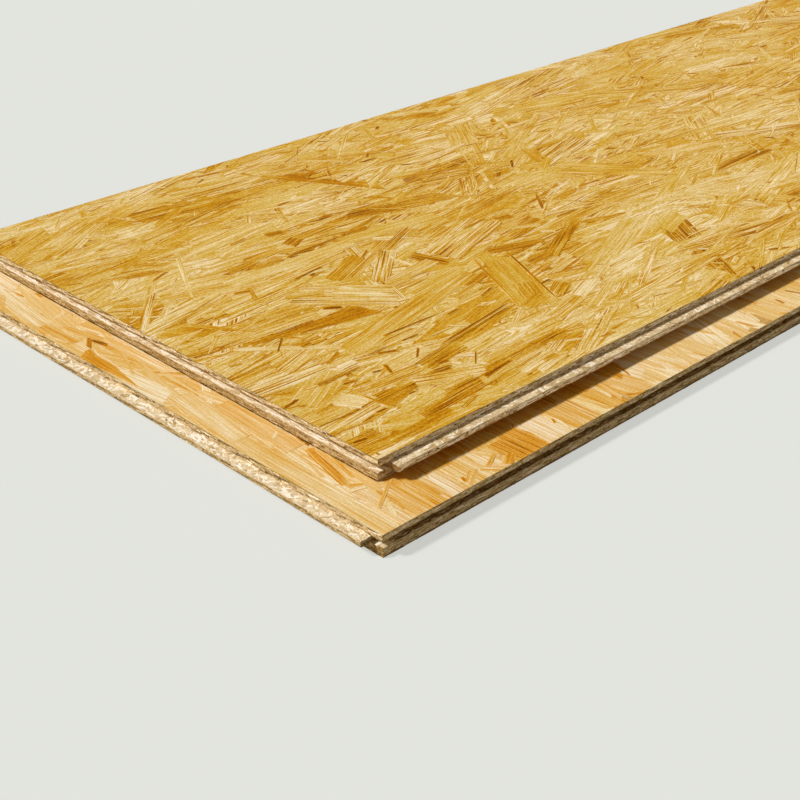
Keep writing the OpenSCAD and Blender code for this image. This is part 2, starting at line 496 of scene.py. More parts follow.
def strand_maps(x, y, angle, rng):
    """The maps grain and OFBake: the points of each strand, turned back by its angle, are moved at
    random for the first, and to the strand's own place for the second. There the outermost ring,
    which stands upright, is drawn out by a margin, so that its faces get some room too."""
    n, rows, columns = x.shape
    turn, swing = np.cos(angle)[:, None, None], np.sin(angle)[:, None, None]
    local = np.stack([x * turn + y * swing, y * turn - x * swing], -1)
    grain = local + rng.uniform(0, GRAIN_SHIFT, (n, 1, 1, 2))
    drawn_out = np.stack(np.meshgrid(
        np.r_[-1, np.zeros(rows - 2), 1], np.r_[-1, np.zeros(columns - 2), 1], indexing="ij"), -1)
    local = local + drawn_out * BAKE_MARGIN
    local = local - local.min(axis=(1, 2), keepdims=True) + BAKE_MARGIN
    low, scale = bake_places(local.max(axis=(1, 2)) + BAKE_MARGIN)
    return {"grain": grain, "OFBake": (local + low[:, None, None, :]) * scale}


# %% [markdown]
# Strands end where their face ends, because the panel is trimmed after pressing, so points that
# lie outside are moved to the border, and strands that miss the face are left out. A ring of points
# is added round each grid and sunk into the board, which makes the strand a thin slab with an edge
# of its own. All strands of one kind become a single mesh, which is filled array by array.

# %% From grids to a piece
SUNK = 0.15 * MM
SMALLEST_FACE = (0.05 * MM) ** 2
TINT_SPREAD = np.array([0.005, 0.007, 0.03])


def mesh_of(name, points, quads, maps, values):
    """A mesh of flat quads from whole arrays: points, the four points of each quad, and for every
    point its place on each texture map and the values that the material reads."""
    mesh = bpy.data.meshes.new(name)
    mesh.vertices.add(len(points))
    mesh.vertices.foreach_set("co", points.ravel())
    mesh.loops.add(quads.size)
    mesh.loops.foreach_set("vertex_index", quads.ravel())
    mesh.polygons.add(len(quads))
    mesh.polygons.foreach_set("loop_start", np.arange(0, quads.size, 4))
    mesh.update(calc_edges=True)
    mesh.shade_flat()
    for map_name, spots in maps.items():
        mesh.uv_layers.new(name=map_name).data.foreach_set("uv", spots[quads.ravel()].ravel())
    for key, value in values.items():
        kind, field = ("FLOAT_COLOR", "color") if value.ndim == 2 else ("FLOAT", "value")
        mesh.attributes.new(key, kind, "POINT").data.foreach_set(field, value.ravel())
    return mesh


def strand_piece(name, faces, which, grids, angle, looks, rng, material):
    """One piece of many strands. which gives each strand's face by its number, and looks has the
    tone, the figure, the rim and the blending of each strand. Core is 1 in the middle of a strand
    and falls by its blending towards both ends, and at the long sides too where there are columns
    between them. Quads that the border of the face has flattened are left out."""
    size = np.array([f["size"] for f in faces])[which][:, None, None]
    spot = np.stack(grids[:2], -1)
    on_face = ((spot > 0) & (spot < size)).all(axis=-1).any(axis=(1, 2))
    which, angle, x, y, z, tone, figure, rim, blend = (v[on_face] for v in (which, angle, *grids, *looks))
    origin, along, across, out, size = (
        np.array([f[key] for f in faces])[which][:, None, None]
        for key in ("origin", "along", "across", "out", "size"))
    n, rows, columns = x.shape
    ring = ((0, 0), (1, 1), (1, 1))
    x = np.pad(np.clip(x, 0, size[..., 0]), ring, mode="edge")
    y = np.pad(np.clip(y, 0, size[..., 1]), ring, mode="edge")
    inside = np.pad(np.ones((rows, columns), bool), 1)
    z = np.where(inside, np.pad(z, ring, mode="edge"), -SUNK)
    points = (origin + x[..., None] * along + y[..., None] * across + z[..., None] * out).reshape(-1, 3)
    maps = strand_maps(x, y, angle, rng)

    index = np.arange(x.size).reshape(x.shape)
    quads = np.stack([index[:, :-1, :-1], index[:, 1:, :-1], index[:, 1:, 1:], index[:, :-1, 1:]], -1)
    quads = quads.reshape(-1, 4)
    first, second, third, fourth = (points[corner] for corner in quads.T)
    twice_area = np.linalg.norm(np.cross(third - first, fourth - second), axis=1)
    used, quads = np.unique(quads[twice_area > SMALLEST_FACE], return_inverse=True)
    quads = quads.reshape(-1, 4)

    border = np.ones((rows, columns))
    border[1:-1, 1:-1] = 0
    rows_from_end = np.minimum(np.arange(rows), np.arange(rows)[::-1])
    fade = np.repeat(np.clip(1 - rows_from_end / 2, 0, 1)[:, None], columns, axis=1)
    if columns > 2:
        fade = np.maximum(fade, border)
    values = {
        "tint": np.repeat(np.c_[1 + rng.normal(0, TINT_SPREAD, (n, 3)), np.ones(n)], x[0].size, axis=0),
        "tone": np.repeat(tone, x[0].size),
        "figure": np.repeat(figure, x[0].size),
        "core": (1 - np.pad(fade, 1, mode="edge") * blend[:, None, None]).reshape(-1),
        "rim": (np.pad(border, 1, mode="edge") * rim[:, None, None]).reshape(-1),
    }
    mesh = mesh_of(name, points[used], quads,
                   {key: spots.reshape(-1, 2)[used] for key, spots in maps.items()},
                   {key: value[used] for key, value in values.items()})
    mesh.materials.append(material)
    piece = bpy.data.objects.new(name, mesh)
    bpy.context.scene.collection.objects.link(piece)
    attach(piece, "root")
    print(f"{name}: {n} strands, {2 * len(quads)} triangles")


# %% [markdown]
# Strands are spread evenly but without a pattern. Random places would leave heaps and bare spots, so
# a low-discrepancy sequence is used: each place is a fixed irrational step after the last one,
# wrapped into the face. Tones are drawn by weight from a few that have names, and angles lie close
# to one direction, with a share that lies askew.

# %% Places, tones and angles of scattered strands
PLASTIC_STEPS = np.array([0.7548776662, 0.5698402910])
TONES = {"cream": 0.9, "straw": 0.77, "honey": 0.7, "gold": 0.64, "olive": 0.57, "amber": 0.48,
         "orange": 0.38, "russet": 0.28, "brown": 0.16, "umber": 0.06}
MOST_ASKEW = 1.2


def scatter(count, size, rng, margin=0.0):
    """count places spread evenly over a rectangle and a margin round it: multiples of two irrational
    steps, wrapped."""
    share = (np.arange(count)[:, None] * PLASTIC_STEPS + rng.uniform(0, 1, 2)) % 1
    return share * (size + 2 * margin) - margin


def pick_tones(count, weights, rng, spread=0.035):
    """Tones drawn by weight from the named ones, each a little lighter or darker."""
    chance = np.array(list(weights.values()), float)
    named = np.array([TONES[name] for name in weights])
    return rng.choice(named, count, p=chance / chance.sum()) + rng.normal(0, spread, count)


def pick_looks(count, weights, limits, rng):
    """Tone, figure, rim and blending of many strands, all but the tone even between two limits."""
    tone = pick_tones(count, weights, rng)
    return tone, *(rng.uniform(*limits[key], count) for key in ("figure", "rim", "blend"))


def lean(count, spread, askew_share, rng):
    """Angles from the main direction: a normal spread in degrees, and a share that lies askew by up
    to MOST_ASKEW radians."""
    angles = rng.normal(0, math.radians(spread), count)
    askew = rng.uniform(0, 1, count) < askew_share
    return np.where(askew, rng.uniform(-MOST_ASKEW, MOST_ASKEW, count), angles)


print("tones:", *TONES)

# %% [markdown]
# The strands of a panel's outer layers lie along it, most within about twenty degrees. Most are plain
# honey and straw, some gold and amber, and few are as dark as heartwood. One image over the whole
# face would be flat and would repeat, so every strand is a slab. A first layer of wide ones lies
# deepest and closes the gaps. The others are four pieces, which gives each strand more room on its
# piece's map.

# %% Scattered strands of the upper face
UPPER_SLOT, LOWER_SLOT = "honey_strand_board", "straw_strand_board"
UPPER_WEIGHTS = {"cream": 5, "straw": 33, "honey": 39, "gold": 16, "amber": 5.5, "orange": 1.5}
BROAD_LOOKS = {"figure": (0.1, 1), "rim": (0, 0.15), "blend": (0.5, 1)}
BROAD_SPREAD, BROAD_ASKEW = 13, 0.14
BROAD_PIECES = [f"upper_broad_strands_{number}" for number in (1, 2, 3, 4)]
MAT_DEPTH = 0.35 * MM
OVERHANG = 24 * MM


def scattered_strands(name, top, place, angle, sizes, weights, limits, rng, material, slot, **form):
    """A piece of strands at the given places and angles. sizes has the limits of their run and width
    in millimetres and of their level in shares of the mat's depth, and limits those of their looks."""
    count = len(place)
    run, width, level = (rng.uniform(*pair, count) for pair in sizes)
    grids = strand_grids(place, angle, run * MM, width * MM, level * MAT_DEPTH, rng, **form)
    looks = pick_looks(count, weights, limits, rng)
    strand_piece(name, [top], np.zeros(count, int), grids, angle, looks, rng, material)


rng = np.random.default_rng(22)
for name, count, *sizes in (
        ("upper_deep_strands", 300, (160, 220), (50, 70), (0.05, 0.1)),
        *((name, 440, (90, 230), (13, 48), (0.1, 1)) for name in BROAD_PIECES)):
    angle = lean(count, BROAD_SPREAD, BROAD_ASKEW, rng)
    place = scatter(count, UPPER["size"][:2], rng, OVERHANG)
    scattered_strands(name, UPPER["top"], place, angle, sizes, UPPER_WEIGHTS, BROAD_LOOKS, rng,
                      HONEY_PINE, UPPER_SLOT)

# %% [markdown]
# When the strands were cut and dried, some broke into narrow ones and splinters, which came to lie
# on top and less in line. Painting them on would leave them without an edge, so they are strands
# too, with fewer points in a grid. Splinters have more of the palest and of the darkest tones.

# %% Narrow strands and splinters of the upper face
SPLINTER_WEIGHTS = {"cream": 24, "straw": 20, "honey": 16, "gold": 10, "amber": 14, "orange": 8,
                    "russet": 5, "brown": 3}
NARROW_LOOKS = {"figure": (0, 0.8), "rim": (0, 0), "blend": (0.3, 0.9)}
NARROW_GRID = {"rows": NARROW_ROWS, "columns": NARROW_COLUMNS}
NARROW_ASKEW = 0.25

for name, count, spread, *sizes, torn, weights in (
        ("upper_narrow_strands", 2200, 17, (40, 120), (3, 11), (0.4, 1.05), 3 * MM, UPPER_WEIGHTS),
        ("upper_splinters", 3600, 24, (6, 30), (1.4, 5), (0.5, 1.15), 1 * MM, SPLINTER_WEIGHTS)):
    angle = lean(count, spread, NARROW_ASKEW, rng)
    place = scatter(count, UPPER["size"][:2], rng)
    scattered_strands(name, UPPER["top"], place, angle, sizes, weights, NARROW_LOOKS, rng,
                      HONEY_PINE, UPPER_SLOT, torn=torn, **NARROW_GRID)

# %% [markdown]
# The strands nearest to the eye give a board its character, so those are laid one by one, each as a
# line from end to end in millimetres from the near corner of the face, with its width, its colour,
# the strength of its late wood and the darkness of its rim. They lie on top of the scattered ones,
# and small marks such as flakes, cracks and resin streaks lie on top of them.

# %% Strands laid one by one on the upper face
UPPER_LAID = [
    (85, 316, 196, 324, 27, "straw", 0.5, 0.1), (110, 340, 200, 343, 18, "honey", 0.5, 0.1),
    (108, 281, 160, 272, 18, "straw", 0.4, 0.1), (118, 252, 153, 249, 14, "straw", 0.3, 0.1),
    (440, 252, 512, 262, 30, "amber", 0.8, 0.1), (450, 282, 512, 288, 20, "gold", 0.6, 0.1),
    (238, 294, 336, 338, 16, "olive", 0.5, 0.1), (362, 303, 414, 317, 17, "olive", 0.6, 0.1),
    (288, 377, 346, 384, 11, "amber", 0.5, 0.1), (404, 190, 488, 190, 24, "amber", 0.6, 0.1),
    (200, 344, 278, 350, 24, "honey", 0.6, 0.1), (380, 337, 432, 342, 20, "honey", 0.5, 0.1),
    (338, 84, 376, 92, 22, "olive", 0.5, 0.1), (84, 98, 142, 95, 18, "gold", 0.6, 0.1),
    (84, 206, 119, 204, 14, "olive", 0.5, 0.1), (212, 126, 248, 129, 12, "straw", 0.4, 0.1),
    (274, 166, 314, 169, 11, "straw", 0.4, 0.1), (38, 58, 80, 54, 10, "amber", 0.6, 0.1),
    (-2, 5, 50, 6, 10, "cream", 0.3, 0.2), (48, 6, 128, 4, 11, "gold", 0.4, 0.2),
    (-2, 27, 37, 24, 34, "amber", 0.5, 0.2), (30, 14, 106, 16, 14, "amber", 0.4, 0.2),
    (78, 27, 182, 34, 16, "amber", 0.7, 0.2), (125, 42, 304, 50, 13, "orange", 0.6, 0.3),
    (29, 47, 61, 25, 4.5, "cream", 0.1, 0), (74, 44, 128, 48, 15, "honey", 0.2, 0.2),
    (69.5, 71.5, 125, 74, 33, "orange", 0.45, 0.1, 9, -2, 0), (-2, 63, 67, 70, 20, "honey", 1.0, 0.2),
    (-2, 90, 42, 88, 22, "honey", 0.3, 0.2), (12, 92, 38, 97, 6, "amber", 0.3, 0),
    (44, 106, 63, 76, 22, "cream", 0.2, 0, 26, 6, 4), (18, 112, 80, 146, 36, "straw", 0.2, 0.1),
    (73, 108, 94, 106, 5, "amber", 0.5, 0), (122, 115, 178, 118, 23, "straw", 0.2, 0.2),
    (195, 111, 310, 128, 8, "gold", 0.5, 0), (140, 100, 197, 109, 3.5, "orange", 0.4, 0),
    (148, 92, 202, 99, 20, "amber", 0.5, 0.3), (120, 77, 184, 47, 22, "honey", 0.7, 0),
    (200, 88, 258, 94, 28, "straw", 0.3, 0.2), (221, 88, 237, 89, 4, "amber", 0.5, 0),
    (194, 56, 254, 58, 11, "olive", 0.3, 0.2), (205, 15, 262, 22, 22, "straw", 0.5, 0.2),
    (164, 33, 264, 42, 12, "gold", 0.5, 0.1), (170, 14, 206, 16, 17, "gold", 0.5, 0.1),
    (238, 20, 258, 21, 7, "amber", 0.5, 0), (118, 12, 142, 20, 5, "amber", 0.5, 0),
    (50, 133, 105, 136, 9, "amber", 0.9, 0), (83, 146, 112, 145, 10, "cream", 0.1, 0),
    (-2, 164, 79, 160, 28, "straw", 1.0, 0.2), (-2, 189, 47, 190, 21, "gold", 0.7, 0.2),
    (46, 179, 87, 192, 26, "honey", 0.8, 0.1), (84, 158, 112, 171, 5, "orange", 0.4, 0),
    (58, 241, 196, 225, 5, "orange", 0.3, 0, 26, 0, -9),
    (112, 230, 198, 220, 12, "orange", 0.2, 0, 28, 2, -8),
    (38, 246, 118, 178, 9, "cream", 0.15, 0), (104, 181, 127, 175, 8, "cream", 0.1, 0),
    (118, 164, 336, 214, 32, "honey", 0.3, 0.1), (117, 193, 136, 190, 4, "amber", 0.4, 0),
    (166, 296, 238, 227, 52, "straw", 0.8, 0, 56, 8, -4), (154, 301, 190, 281, 12, "gold", 0.6, 0, 18, 3, 3),
    (206, 279, 241, 240, 24, "cream", 0.5, 0),
    (140, 244, 171, 246, 14, "cream", 0.2, 0), (255, 214, 342, 228, 14, "straw", 0.3, 0.1),
    (331, 104, 388, 226, 44, "honey", 0.0, 0.3, 32, -5, 8), (350, 146, 384, 214, 14, "honey", 0.1, 0),
    (330, 102, 360, 152, 34, "olive", 0.2, 0.1),
    (316, 110, 350, 118, 18, "amber", 0.3, 0), (254, 262, 312, 313, 22, "gold", 1.0, 0.2),
    (219, 300, 278, 327, 20, "amber", 0.4, 0.4), (324, 288, 338, 247, 18, "orange", 0.5, 0.3),
    (305, 302, 307, 266, 5, "cream", 0.1, 0), (260, 252, 332, 262, 18, "straw", 0.4, 0.1),
    (348, 262, 457, 300, 44, "gold", 0.9, 0.2), (394, 236, 464, 212, 15, "amber", 0.4, 0.2),
    (425, 238, 453, 234, 5, "cream", 0.1, 0), (432, 206, 454, 210, 5, "cream", 0.1, 0),
    (480, 233, 493, 223, 7, "cream", 0.1, 0), (470, 294, 493, 289, 12, "russet", 0.4, 0),
    (130, 366, 302, 362, 22, "straw", 0.15, 0.1), (298, 371, 432, 352, 24, "honey", 0.15, 0.1),
    (262, 414, 322, 417, 13, "amber", 0.5, 0.2), (304, 382, 380, 399, 7, "orange", 0.4, 0),
    (150, 392, 192, 394, 12, "amber", 0.6, 0), (176, 378, 216, 380, 7, "amber", 0.5, 0),
    (325, 353, 353, 329, 10, "cream", 0.2, 0), (340, 346, 373, 317, 6, "cream", 0.1, 0),
    (357, 332, 373, 317, 7, "amber", 0.4, 0), (318, 318, 382, 346, 16, "amber", 1.0, 0.2),
    (128, 318, 143, 347, 5, "amber", 0.5, 0), (205, 332, 239, 325, 6, "cream", 0.1, 0),
    (438, 182, 545, 234, 17, "amber", 0.4, 0.2), (394, 192, 431, 202, 6, "cream", 0.1, 0),
    (246, 445, 267, 440, 12, "russet", 0.5, 0), (245, 404, 267, 413, 18, "russet", 0.5, 0),
    (70, 251, 152, 245, 10, "straw", 0.4, 0.1), (185, 263, 212, 236, 13, "straw", 0.4, 0),
    (251, 252, 286, 247, 14, "straw", 0.4, 0), (128, 50, 168, 49, 9, "honey", 0.4, 0.1),
    (186, 7, 222, 9, 12, "olive", 0.4, 0.1), (184, 402, 232, 404, 14, "olive", 0.5, 0.1),
    (305, 289, 335, 297, 12, "olive", 0.5, 0.1), (280, 176, 322, 183, 13, "gold", 0.4, 0.1),
    (311, 189, 346, 198, 13, "amber", 0.4, 0.1), (362, 112, 392, 126, 18, "olive", 0.4, 0.1),
    (320, 75, 354, 82, 16, "gold", 0.5, 0.1), (396, 292, 430, 297, 15, "gold", 0.5, 0.1),
]
UPPER_MARKS = [
    (3, 35, 19, 32, 6, "umber"), (172, 38, 219, 44, 9, "brown"), (0, 76, 43, 74, 2.5, "brown"),
    (32, 54, 51, 57, 3, "brown"), (55, 59, 67, 58, 4, "brown"), (-2, 121, 20, 126, 4, "brown"),
    (116, 103, 124, 121, 5, "russet"), (104, 117, 113, 114, 2.5, "umber"), (155, 109, 171, 123, 3, "brown"),
    (148, 79, 167, 76, 4, "brown"), (160, 86, 173, 85, 5, "russet"), (186, 62, 206, 80, 2, "brown"),
    (203, 11, 210, 12, 4, "umber"), (38, 135, 51, 134, 4, "cream"), (70, 127, 81, 127, 5, "cream"),
    (82, 129, 89, 129, 4, "brown"), (69, 212, 91, 232, 2, "umber"), (91, 202, 104, 203, 7, "russet"),
    (121, 199, 131, 201, 5, "cream"), (164, 165, 242, 163, 2.6, "brown"), (133, 142, 153, 132, 5, "brown"),
    (124, 146, 151, 146, 2.5, "brown"), (169, 145, 191, 144, 2.5, "umber"), (198, 133, 229, 132, 3, "cream"),
    (226, 139, 242, 121, 4.5, "cream"), (243, 154, 263, 157, 6, "russet"), (163, 253, 180, 242, 7, "umber"),
    (367, 138, 385, 139, 4, "umber"), (222, 380, 307, 383, 5, "brown"), (314, 382, 331, 385, 4, "brown"),
    (198, 450, 225, 454, 5, "russet"), (120, 345, 139, 338, 6, "russet"), (188, 328, 233, 334, 3, "brown"),
    (208, 324, 215, 325, 4, "umber"), (280, 321, 299, 332, 3, "brown"), (420, 300, 462, 304, 4, "russet"),
    (394, 160, 411, 158, 5, "russet"), (300, 160, 326, 168, 4, "russet"), (272, 206, 279, 208, 3, "cream"),
    (5, 7, 8, 7.5, 3, "umber"), (73, 54, 67, 90, 2.2, "russet"),
    (311, 116, 366, 232, 3, "amber"), (352, 100, 408, 222, 3, "russet"),
    (193, 113, 310, 131, 3.4, "brown"), (196, 109, 310, 125, 3, "russet"), (140, 99, 197, 109, 2.6, "russet"),
]
LAID_LEVEL = 1.2 * MAT_DEPTH
UPPER_MARK_LEVEL = 1.75 * MAT_DEPTH
LAID_RISE = 1.45
LAID_TILT = 0.004 * MM
LAID_PINCH = 0.1
PLAIN_FIGURE = 0.3
MARK_TORN = 0.6 * MM


def laid_strands(name, rows, top, level, rng, material, columns=BROAD_COLUMNS, torn=2 * MM, blend=0.6):
    """Strands from a list of lines: start x, y and end x, y from the face's near corner, width at
    the start, tone, late wood, rim, width at the end, and how far each end slants. The last five
    may be left out. Place, angle, length and taper follow from them. Each lies a little higher than
    the one before it in the list, up to LAID_RISE times the first one's level."""
    ends = np.array([row[:4] for row in rows]).reshape(-1, 2, 2) * MM
    step = ends[:, 1] - ends[:, 0]
    angle = np.arctan2(step[:, 1], step[:, 0])
    full = [row + (PLAIN_FIGURE, 0, row[4], 0, 0)[len(row) - 6:] for row in rows]
    numbers = np.array([row[4:5] + row[6:] for row in full]).T
    start_width, figure, rim, end_width, start_slant, end_slant = numbers
    width = (start_width + end_width) / 2
    shape = np.stack([(end_width - start_width) / 2, 2 * start_slant, 2 * end_slant], 1) / width[:, None]
    levels = level * np.linspace(1, LAID_RISE, len(rows))
    grids = strand_grids(
        ends.mean(axis=1), angle, np.hypot(step[:, 0], step[:, 1]), width * MM, levels, rng,
        columns=columns, shape=shape, torn=torn, pinched=LAID_PINCH, tilt=LAID_TILT)
    tone = np.array([TONES[row[5]] for row in rows])
    looks = (tone, figure, rim, np.full(len(rows), blend))
    strand_piece(name, [top], np.zeros(len(rows), int), grids, angle, looks, rng, material)


laid_strands("upper_laid_strands", UPPER_LAID, UPPER["top"], LAID_LEVEL, rng, HONEY_PINE)
laid_strands("upper_laid_marks", UPPER_MARKS, UPPER["top"], UPPER_MARK_LEVEL, rng, HONEY_PINE,
             columns=MARK_COLUMNS, torn=MARK_TORN, blend=1.0)

# %% [markdown]
# Of the lower panel's face only two strips show, in front of the upper panel, so strands are laid
# there alone, reaching a little under the upper panel. They are paler, and here they lie across.

# %% Scattered strands of the lower face
STRIP_MARGIN = 40 * MM
LOWER_WEIGHTS = {"cream": 42, "straw": 44, "honey": 10, "amber": 3, "orange": 1}
LOWER_LOOKS = {"figure": (0.1, 0.8), "rim": (0, 0.1), "blend": (0, 0.4)}
LOWER_ASKEW = 0.12
LOWER_TORN = 1 * MM
BROAD_GRID = {"rows": BROAD_ROWS, "columns": BROAD_COLUMNS}
strip = UPPER["low"][:2] - LOWER["low"][:2] + STRIP_MARGIN
STRIPS = [(np.zeros(2), np.array([LOWER["size"][0], strip[1]])),
          (np.array([0, strip[1]]), np.array([strip[0], LOWER["size"][1] - strip[1]]))]

for name, density, spread, *sizes, weights, grid in (
        ("lower_deep_strands", 190, 8, (160, 220), (50, 70), (0.05, 0.1), LOWER_WEIGHTS, BROAD_GRID),
        ("lower_broad_strands", 1500, 8, (80, 170), (10, 36), (0.1, 1), LOWER_WEIGHTS, BROAD_GRID),
        ("lower_splinters", 2000, 20, (8, 40), (1.2, 5), (0.5, 1.1), SPLINTER_WEIGHTS, NARROW_GRID)):
    place = np.concatenate([
        low + scatter(int(density * size.prod()), size, rng, OVERHANG / 2) for low, size in STRIPS])
    angle = math.pi / 2 + lean(len(place), spread, LOWER_ASKEW, rng)
    scattered_strands(name, LOWER["top"], place, angle, sizes, weights, LOWER_LOOKS, rng,
                      STRAW_PINE, LOWER_SLOT, torn=LOWER_TORN, **grid)

# %% [markdown]
# On the lower face, too, the strands nearest to the eye are laid one by one, in the same way. Those of
# the long strip run in under the upper panel. A row of darker amber ones lies along its edge, in the
# shadow that the upper panel casts: painted shade, which makes that shadow brown.

# %% Strands laid one by one on the lower face
LOWER_MARK_LEVEL = 1.6 * MAT_DEPTH
LOWER_LAID = [
    (42, 12, 45, 104, 22, "straw", 0.5, 0.1), (58, 44, 62, 120, 18, "honey", 0.5, 0.1),
    (11, -3, 10, 205, 23, "straw", 0.5, 0.1), (29, -3, 31, 70, 13, "straw", 0.5, 0.1),
    (48, -3, 49, 47, 17, "gold", 0.9, 0.1), (65, -3, 66, 78, 21, "gold", 0.8, 0.1),
    (77, 8, 79, 47, 7, "amber", 0.5, 0.1), (91, -3, 92, 70, 24, "straw", 0.9, 0.1),
    (119, -3, 120, 72, 33, "honey", 0.8, 0.1), (147, 46, 160, 16, 14, "honey", 0.6, 0.1),
    (135, 16, 153, -3, 10, "straw", 0.5, 0), (184, -3, 182, 72, 43, "orange", 0.6, 0.2),
    (222, -3, 222, 72, 33, "cream", 0.3, 0.1), (247, -3, 245, 72, 7, "amber", 0.6, 0.1),
    (264, -3, 264, 72, 30, "gold", 0.8, 0.1), (31, 78, 46, 141, 10, "amber", 0.9, 0.1),
    (40, 80, 52, 135, 8, "honey", 0.6, 0), (14, 196, 24, 300, 26, "cream", 0.4, 0.1),
    (38, 150, 44, 260, 22, "straw", 0.4, 0.1),
    # This row of darker amber strands starts where the upper panel's cast shadow ends and runs in under the
    # panel: painted shade, which makes that shadow brown.
    (74, 42, 76, 80, 30, "amber", 0.5, 0.1), (104, 38, 103, 80, 32, "amber", 0.5, 0.1),
    (134, 43, 136, 80, 30, "orange", 0.6, 0.1), (164, 37, 165, 80, 30, "amber", 0.4, 0.1),
    (195, 42, 194, 80, 32, "orange", 0.5, 0.1), (226, 39, 228, 80, 30, "amber", 0.5, 0.1),
    (257, 44, 256, 80, 32, "orange", 0.5, 0.1), (289, 38, 290, 80, 32, "amber", 0.6, 0.1),
    (321, 43, 320, 80, 32, "gold", 0.5, 0.1), (352, 40, 353, 80, 32, "amber", 0.5, 0.1),
]
LOWER_MARKS = [
    (26, 13, 36, 32, 6, "cream"), (30, 29, 41, 36, 4, "cream"), (104, 1, 127, 16, 3, "amber"),
    (106, 8, 120, 18, 3, "orange"), (128, 13, 140, 1, 3, "amber"), (152, 3, 167, 12, 9, "orange"),
    (26, 66, 40, 62, 5, "cream"), (30, 73, 41, 66, 4, "amber"), (35, 178, 43, 184, 6, "cream"),
    (24, 30, 62, 55, 3.5, "amber"), (137, 12, 156, 22, 4, "amber"), (202, 40, 207, 48, 4, "russet"),
    (105, 8, 108, 16, 4, "russet"), (236, 20, 240, 27, 3, "brown"),
]
laid_strands("lower_laid_strands", LOWER_LAID, LOWER["top"], LAID_LEVEL, rng, STRAW_PINE)
laid_strands("lower_laid_marks", LOWER_MARKS, LOWER["top"], LOWER_MARK_LEVEL, rng, STRAW_PINE,
             columns=MARK_COLUMNS, torn=MARK_TORN, blend=0.8)

# %% [markdown]
# The edges are milled through the mat of strands. The faces of all four edges follow from the
# section of the tongue and groove, so a panel's edges become a list of small frames like those of
# the top faces, with the kind of cut that each of them shows. Finding them in the solid's mesh
# would also work, but a list by name lets each kind have its own looks.

# %% Milled faces
TONGUE_MIDDLE = 12.4 * MM
TONGUE_ROOT = 6.2 * MM
TONGUE_TAPER = 0.4 * MM
TIP_BEVEL = 0.8 * MM
GROOVE_CLEARANCE = 0.25 * MM
GROOVE_DEPTH = 13 * MM
MOUTH_BEVEL = 0.5 * MM
SHOULDER_RELIEF = 0.6 * MM
# The lowest strip of a grooved edge is darker where it meets what it lies on: painted shade of the gap there
PAINTED_JOINT_SHADE_HEIGHT = 1.7 * MM
# A groove lies open at the end where it runs out through the next edge's tongue
OPEN_END = 12 * MM


def upright(edge, kind, out, low, high, trims=(0, 0)):
    """A face that stands at a distance out from the shoulder, between two heights, with both its
    ends trimmed. Seen from outside, it runs from left to right and from low to high."""
    start, end = trims
    corner = (edge["middle"] + edge["outward"] * (edge["reach"] + out)
              + edge["along"] * (start - edge["run"] / 2) + UP * low)
    return kind, face(corner, edge["along"], UP, (edge["run"] - start - end, high - low))


def lying(edge, kind, inner, outer, height, drop, trims):
    """A face that looks up, from inner to outer past the shoulder, and falls by drop on the way. It
    runs the other way than an upright one, so that along x across still points out of the wood."""
    start, end = trims
    corner = (edge["middle"] + edge["outward"] * (edge["reach"] + inner)
              + edge["along"] * (edge["run"] / 2 - end) + UP * height)
    across = edge["outward"] * (outer - inner) - UP * drop
    return kind, face(corner, -edge["along"], across, (edge["run"] - start - end, np.linalg.norm(across)))


def edge_faces(milled):
    """The milled faces of a panel, with the kind of cut each one shows. Every edge has its outward
    direction, the distance of its shoulder from the middle and its run along up x outward. Where
    it meets the next edges, its tongue is trimmed or drawn out, and its groove is trimmed."""
    length, width, thick = milled["size"]
    root, tip = TONGUE_ROOT / 2, (TONGUE_ROOT - TONGUE_TAPER) / 2
    mouth = root + GROOVE_CLEARANCE
    made = []
    for outward, reach, run, tongued, trims in (
            ((0, -1, 0), width / 2, length, True, (GROOVE_DEPTH, -TONGUE)),
            ((1, 0, 0), length / 2, width, True, (-TONGUE, GROOVE_DEPTH)),
            ((0, 1, 0), width / 2, length, False, (0, GROOVE_DEPTH)),
            ((-1, 0, 0), length / 2, width, False, (GROOVE_DEPTH, 0))):
        outward = np.array(outward, float) * (milled["turn"], milled["turn"], 1)
        edge = {"middle": milled["middle"], "outward": outward, "along": np.cross(UP, outward),
                "reach": reach, "run": run}
        if tongued:
            tip_low, tip_high = TONGUE_MIDDLE - tip + TIP_BEVEL, TONGUE_MIDDLE + tip - TIP_BEVEL
            made += [
                upright(edge, "shoulder", 0, TONGUE_MIDDLE + root, thick),
                upright(edge, "heel", -SHOULDER_RELIEF, 0, TONGUE_MIDDLE - root),
                upright(edge, "tip", TONGUE, tip_low, tip_high, trims),
                lying(edge, "top", 0, TONGUE - TIP_BEVEL, TONGUE_MIDDLE + root, root - tip, trims)]
        else:
            wall_height = TONGUE_MIDDLE - tip - GROOVE_CLEARANCE
            closed = (OPEN_END, trims[1]) if trims[0] == 0 else (trims[0], OPEN_END)
            opened = (0, run - OPEN_END) if trims[0] == 0 else (run - OPEN_END, 0)
            made += [
                upright(edge, "brow", 0, TONGUE_MIDDLE + mouth + MOUTH_BEVEL, thick),
                upright(edge, "foot", 0, PAINTED_JOINT_SHADE_HEIGHT, TONGUE_MIDDLE - mouth - MOUTH_BEVEL),
                # The lowest strip is darker: painted shade of the gap where the edge meets what it lies on
                upright(edge, "joint", 0, 0, PAINTED_JOINT_SHADE_HEIGHT),
                upright(edge, "bottom", -GROOVE_DEPTH, TONGUE_MIDDLE - tip, TONGUE_MIDDLE + tip, trims),
                lying(edge, "wall", -GROOVE_DEPTH, -MOUTH_BEVEL, wall_height, root - tip, closed),
                lying(edge, "open_wall", -GROOVE_DEPTH, -MOUTH_BEVEL, wall_height, root - tip, opened)]
    return made


print("milled faces of a panel:", len(edge_faces(UPPER)))
